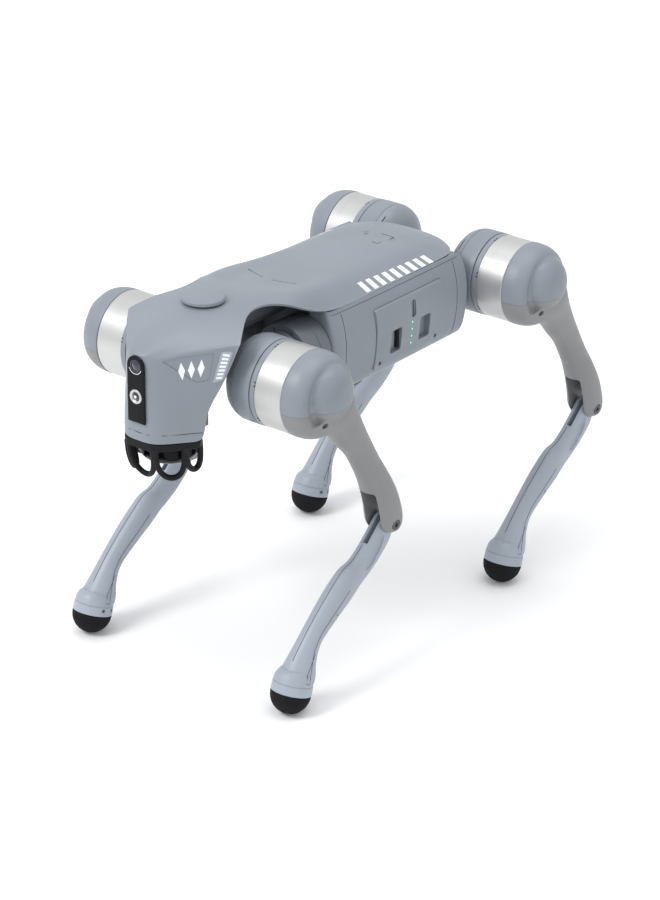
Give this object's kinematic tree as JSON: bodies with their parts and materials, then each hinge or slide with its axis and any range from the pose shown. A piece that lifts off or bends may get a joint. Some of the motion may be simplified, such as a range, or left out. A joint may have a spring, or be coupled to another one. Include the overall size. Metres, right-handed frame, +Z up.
{
  "type": "quadruped robot",
  "caption": "Four-legged walking robot with a boxy trunk, wedge head, caged scanner, side battery and motor-driven legs with rod-driven knees.",
  "frame": {"origin": "on the ground under the middle of the robot's box in the standing pose", "axes": "+X forwards out of the face, +Y to the robot's left, +Z up"},
  "size_m": [0.6412, 0.342, 0.43],
  "materials": {
    "shell_paint": "satin blue-grey paint",
    "thigh_paint": "satin warm grey paint",
    "motor_silver": "bead-blasted bright silver",
    "calf_paint": "satin light blue-grey paint",
    "dark_frame": "matte black",
    "black_gloss": "gloss black",
    "lens_glass": "dark coated glass",
    "lamp_white": "clear white lamp cover",
    "rubber": "matte black rubber",
    "steel": "brushed"
  },
  "bodies": {
    "trunk": {"chassis": "dark_frame", "top_cover": "shell_paint", "lower_shell": "shell_paint", "belly_pan": "shell_paint", "belly_pad": "rubber", "face_panel": "black_gloss", "camera_lens": "lens_glass", "headlight": "lamp_white", "head_disc": "shell_paint", "lidar_guard": "dark_frame", "lidar_base": "dark_frame", "front_left_hip_motor": "dark_frame", "front_right_hip_motor": "dark_frame", "rear_left_hip_motor": "dark_frame", "rear_right_hip_motor": "dark_frame"},
    "scanner": {"lidar_rotor": "black_gloss"},
    "battery": {"battery_pack": "shell_paint"},
    "latch_front": {"battery_latch_front": "dark_frame"},
    "latch_rear": {"battery_latch_rear": "dark_frame"},
    "button": {"power_button": "dark_frame"},
    "front_left_hip": {"front_left_hip_bracket": "shell_paint", "front_left_thigh_motor": "motor_silver"},
    "front_left_upper_leg": {"front_left_thigh": "thigh_paint", "front_left_thigh_cap": "shell_paint", "front_left_knee_motor": "motor_silver", "front_left_knee_pin": "steel"},
    "front_left_crank": {"front_left_knee_crank": "steel"},
    "front_left_rod": {"front_left_knee_rod": "steel"},
    "front_left_lower_leg": {"front_left_calf": "calf_paint", "front_left_foot": "rubber"},
    "front_right_hip": {"front_right_hip_bracket": "shell_paint", "front_right_thigh_motor": "motor_silver"},
    "front_right_upper_leg": {"front_right_thigh": "thigh_paint", "front_right_thigh_cap": "shell_paint", "front_right_knee_motor": "motor_silver", "front_right_knee_pin": "steel"},
    "front_right_crank": {"front_right_knee_crank": "steel"},
    "front_right_rod": {"front_right_knee_rod": "steel"},
    "front_right_lower_leg": {"front_right_calf": "calf_paint", "front_right_foot": "rubber"},
    "rear_left_hip": {"rear_left_hip_bracket": "shell_paint", "rear_left_thigh_motor": "motor_silver"},
    "rear_left_upper_leg": {"rear_left_thigh": "thigh_paint", "rear_left_thigh_cap": "shell_paint", "rear_left_knee_motor": "motor_silver", "rear_left_knee_pin": "steel"},
    "rear_left_crank": {"rear_left_knee_crank": "steel"},
    "rear_left_rod": {"rear_left_knee_rod": "steel"},
    "rear_left_lower_leg": {"rear_left_calf": "calf_paint", "rear_left_foot": "rubber"},
    "rear_right_hip": {"rear_right_hip_bracket": "shell_paint", "rear_right_thigh_motor": "motor_silver"},
    "rear_right_upper_leg": {"rear_right_thigh": "thigh_paint", "rear_right_thigh_cap": "shell_paint", "rear_right_knee_motor": "motor_silver", "rear_right_knee_pin": "steel"},
    "rear_right_crank": {"rear_right_knee_crank": "steel"},
    "rear_right_rod": {"rear_right_knee_rod": "steel"},
    "rear_right_lower_leg": {"rear_right_calf": "calf_paint", "rear_right_foot": "rubber"}
  },
  "joints": [
    {"name": "scanner_spin", "type": "hinge", "parent": "trunk", "child": "scanner", "pos_m": [0.26869, 0, 0.27943], "axis": [0, 0, 1], "continuous": true},
    {"name": "battery_slide", "type": "slide", "parent": "trunk", "child": "battery", "axis": [0, 1, 0], "range_m": [0, 0.15]},
    {"name": "front_latch_press", "type": "slide", "parent": "battery", "child": "latch_front", "axis": [-1, 0, 0], "range_m": [0, 0.0024], "stiffness_N_per_m": 300, "springref_m": -0.002},
    {"name": "rear_latch_press", "type": "slide", "parent": "battery", "child": "latch_rear", "axis": [1, 0, 0], "range_m": [0, 0.0024], "stiffness_N_per_m": 300, "springref_m": -0.002},
    {"name": "power_button_press", "type": "slide", "parent": "battery", "child": "button", "axis": [0, -1, 0], "range_m": [0, 0.0012], "stiffness_N_per_m": 300, "springref_m": -0.002},
    {"name": "front_left_abduction", "type": "hinge", "parent": "trunk", "child": "front_left_hip", "pos_m": [0.19409, 0.0465, 0.34943], "axis": [1, 0, 0], "range_deg": [-40, 38]},
    {"name": "front_left_thigh_swing", "type": "hinge", "parent": "front_left_hip", "child": "front_left_upper_leg", "pos_m": [0.19409, 0.142, 0.34943], "axis": [0, 1, 0], "range_deg": [-120.5, 89.5]},
    {"name": "front_left_knee_bend", "type": "hinge", "parent": "front_left_upper_leg", "child": "front_left_lower_leg", "pos_m": [0.08598, 0.142, 0.1659], "axis": [0, -1, 0], "range_deg": [-30, 78]},
    {"name": "front_left_crank_turn", "type": "hinge", "parent": "front_left_upper_leg", "child": "front_left_crank", "pos_m": [0.19409, 0.142, 0.34943], "axis": [0, -1, 0], "range_deg": [-30, 78]},
    {"name": "front_left_rod_pivot", "type": "hinge", "parent": "front_left_crank", "child": "front_left_rod", "pos_m": [0.18537, 0.1432, 0.36164], "axis": [0, -1, 0], "range_deg": [-78, 30]},
    {"name": "front_right_abduction", "type": "hinge", "parent": "trunk", "child": "front_right_hip", "pos_m": [0.19409, -0.0465, 0.34943], "axis": [1, 0, 0], "range_deg": [-38, 40]},
    {"name": "front_right_thigh_swing", "type": "hinge", "parent": "front_right_hip", "child": "front_right_upper_leg", "pos_m": [0.19409, -0.142, 0.34943], "axis": [0, 1, 0], "range_deg": [-120.5, 89.5]},
    {"name": "front_right_knee_bend", "type": "hinge", "parent": "front_right_upper_leg", "child": "front_right_lower_leg", "pos_m": [0.08598, -0.142, 0.1659], "axis": [0, -1, 0], "range_deg": [-30, 78]},
    {"name": "front_right_crank_turn", "type": "hinge", "parent": "front_right_upper_leg", "child": "front_right_crank", "pos_m": [0.19409, -0.142, 0.34943], "axis": [0, -1, 0], "range_deg": [-30, 78]},
    {"name": "front_right_rod_pivot", "type": "hinge", "parent": "front_right_crank", "child": "front_right_rod", "pos_m": [0.18537, -0.1432, 0.36164], "axis": [0, -1, 0], "range_deg": [-78, 30]},
    {"name": "rear_left_abduction", "type": "hinge", "parent": "trunk", "child": "rear_left_hip", "pos_m": [-0.19271, 0.0465, 0.34943], "axis": [1, 0, 0], "range_deg": [-40, 38]},
    {"name": "rear_left_thigh_swing", "type": "hinge", "parent": "rear_left_hip", "child": "rear_left_upper_leg", "pos_m": [-0.19271, 0.142, 0.34943], "axis": [0, 1, 0], "range_deg": [-40, 229.5]},
    {"name": "rear_left_knee_bend", "type": "hinge", "parent": "rear_left_upper_leg", "child": "rear_left_lower_leg", "pos_m": [-0.30082, 0.142, 0.1659], "axis": [0, -1, 0], "range_deg": [-30, 78]},
    {"name": "rear_left_crank_turn", "type": "hinge", "parent": "rear_left_upper_leg", "child": "rear_left_crank", "pos_m": [-0.19271, 0.142, 0.34943], "axis": [0, -1, 0], "range_deg": [-30, 78]},
    {"name": "rear_left_rod_pivot", "type": "hinge", "parent": "rear_left_crank", "child": "rear_left_rod", "pos_m": [-0.20143, 0.1432, 0.36164], "axis": [0, -1, 0], "range_deg": [-78, 30]},
    {"name": "rear_right_abduction", "type": "hinge", "parent": "trunk", "child": "rear_right_hip", "pos_m": [-0.19271, -0.0465, 0.34943], "axis": [1, 0, 0], "range_deg": [-38, 40]},
    {"name": "rear_right_thigh_swing", "type": "hinge", "parent": "rear_right_hip", "child": "rear_right_upper_leg", "pos_m": [-0.19271, -0.142, 0.34943], "axis": [0, 1, 0], "range_deg": [-40, 229.5]},
    {"name": "rear_right_knee_bend", "type": "hinge", "parent": "rear_right_upper_leg", "child": "rear_right_lower_leg", "pos_m": [-0.30082, -0.142, 0.1659], "axis": [0, -1, 0], "range_deg": [-30, 78]},
    {"name": "rear_right_crank_turn", "type": "hinge", "parent": "rear_right_upper_leg", "child": "rear_right_crank", "pos_m": [-0.19271, -0.142, 0.34943], "axis": [0, -1, 0], "range_deg": [-30, 78]},
    {"name": "rear_right_rod_pivot", "type": "hinge", "parent": "rear_right_crank", "child": "rear_right_rod", "pos_m": [-0.20143, -0.1432, 0.36164], "axis": [0, -1, 0], "range_deg": [-78, 30]}
  ],
  "couplings": [
    {"joint": "front_left_crank_turn", "follows": "front_left_knee_bend", "ratio": 1},
    {"joint": "front_left_rod_pivot", "follows": "front_left_knee_bend", "ratio": -1},
    {"joint": "front_right_crank_turn", "follows": "front_right_knee_bend", "ratio": 1},
    {"joint": "front_right_rod_pivot", "follows": "front_right_knee_bend", "ratio": -1},
    {"joint": "rear_left_crank_turn", "follows": "rear_left_knee_bend", "ratio": 1},
    {"joint": "rear_left_rod_pivot", "follows": "rear_left_knee_bend", "ratio": -1},
    {"joint": "rear_right_crank_turn", "follows": "rear_right_knee_bend", "ratio": 1},
    {"joint": "rear_right_rod_pivot", "follows": "rear_right_knee_bend", "ratio": -1}
  ]
}
